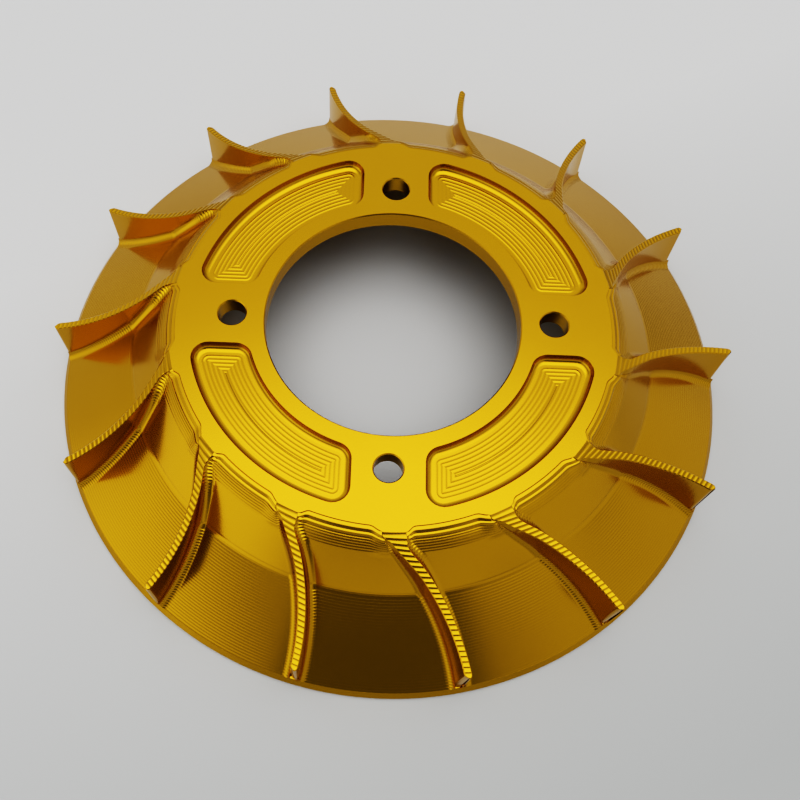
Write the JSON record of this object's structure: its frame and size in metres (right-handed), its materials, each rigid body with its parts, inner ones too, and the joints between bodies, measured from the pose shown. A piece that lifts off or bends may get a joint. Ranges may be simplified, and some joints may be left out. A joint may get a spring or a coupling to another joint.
{
  "type": "flywheel fan ring",
  "caption": "One-piece milled cooling-fan ring for a small engine's flywheel: flat bolt-on disc with a wide bore, flared hub, conical flange and swept radial blades",
  "frame": {"origin": "on the spin axis, in the plane of the rim's flat foot", "axes": "+Z is the spin axis and points out of the mounting disc's front face; +X passes through the first bolt hole"},
  "size_m": [0.17, 0.17, 0.0232],
  "materials": {
    "anodised_metal": "gold anodised, as milled"
  },
  "bodies": {
    "root": {"mounting_disc": "anodised_metal", "hub_wall": "anodised_metal", "flange_ring": "anodised_metal", "blade_01": "anodised_metal", "blade_02": "anodised_metal", "blade_03": "anodised_metal", "blade_04": "anodised_metal", "blade_05": "anodised_metal", "blade_06": "anodised_metal", "blade_07": "anodised_metal", "blade_08": "anodised_metal", "blade_09": "anodised_metal", "blade_10": "anodised_metal", "blade_11": "anodised_metal", "blade_12": "anodised_metal", "blade_13": "anodised_metal", "blade_14": "anodised_metal"}
  },
  "joints": []
}
